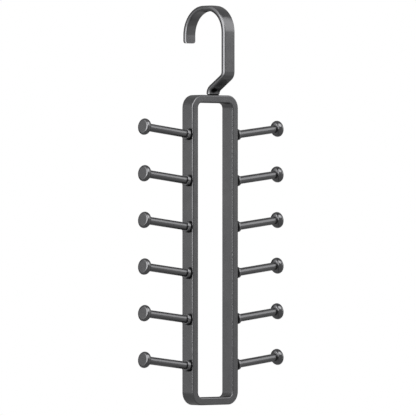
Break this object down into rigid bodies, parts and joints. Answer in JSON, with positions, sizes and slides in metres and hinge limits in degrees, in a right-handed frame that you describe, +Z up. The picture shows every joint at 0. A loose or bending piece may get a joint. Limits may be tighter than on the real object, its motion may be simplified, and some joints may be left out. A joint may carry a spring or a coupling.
{
  "type": "tie hanger",
  "caption": "Swivelling closet hanger for ties and belts: a flat-bar hook over a tall open frame with rising knobbed pegs on both sides.",
  "frame": {"origin": "middle of the hook's round seat, where a closet rod lies", "axes": "+X along the closet rod, +Y towards the hook's open end, +Z up"},
  "size_m": [0.1666, 0.0576, 0.3603],
  "materials": {
    "nickel_steel": "black nickel plated, satin",
    "bright_nickel_steel": "black nickel plated, polished edge",
    "screw_steel": "dark plated, satin",
    "black_nylon": "matte"
  },
  "bodies": {
    "hook": {"hook": "nickel_steel", "swivel_screw": "screw_steel", "swivel_washer": "black_nylon"},
    "rack": {"frame": "nickel_steel", "left_peg_rod_1": "nickel_steel", "left_peg_rod_2": "nickel_steel", "left_peg_rod_3": "nickel_steel", "left_peg_rod_4": "nickel_steel", "left_peg_rod_5": "nickel_steel", "left_peg_rod_6": "nickel_steel", "left_peg_head_1": "nickel_steel", "left_peg_head_2": "nickel_steel", "left_peg_head_3": "nickel_steel", "left_peg_head_4": "nickel_steel", "left_peg_head_5": "nickel_steel", "left_peg_head_6": "nickel_steel", "left_peg_collar_1": "bright_nickel_steel", "left_peg_collar_2": "bright_nickel_steel", "left_peg_collar_3": "bright_nickel_steel", "left_peg_collar_4": "bright_nickel_steel", "left_peg_collar_5": "bright_nickel_steel", "left_peg_collar_6": "bright_nickel_steel", "left_peg_bushing_1": "black_nylon", "left_peg_bushing_2": "black_nylon", "left_peg_bushing_3": "black_nylon", "left_peg_bushing_4": "black_nylon", "left_peg_bushing_5": "black_nylon", "left_peg_bushing_6": "black_nylon", "right_peg_rod_1": "nickel_steel", "right_peg_rod_2": "nickel_steel", "right_peg_rod_3": "nickel_steel", "right_peg_rod_4": "nickel_steel", "right_peg_rod_5": "nickel_steel", "right_peg_rod_6": "nickel_steel", "right_peg_head_1": "nickel_steel", "right_peg_head_2": "nickel_steel", "right_peg_head_3": "nickel_steel", "right_peg_head_4": "nickel_steel", "right_peg_head_5": "nickel_steel", "right_peg_head_6": "nickel_steel", "right_peg_collar_1": "bright_nickel_steel", "right_peg_collar_2": "bright_nickel_steel", "right_peg_collar_3": "bright_nickel_steel", "right_peg_collar_4": "bright_nickel_steel", "right_peg_collar_5": "bright_nickel_steel", "right_peg_collar_6": "bright_nickel_steel", "right_peg_bushing_1": "black_nylon", "right_peg_bushing_2": "black_nylon", "right_peg_bushing_3": "black_nylon", "right_peg_bushing_4": "black_nylon", "right_peg_bushing_5": "black_nylon", "right_peg_bushing_6": "black_nylon"}
  },
  "joints": [
    {"name": "hook_swivel", "type": "hinge", "parent": "hook", "child": "rack", "pos_m": [0, -0.0061, -0.0529], "axis": [0, 0, 1], "continuous": true}
  ]
}
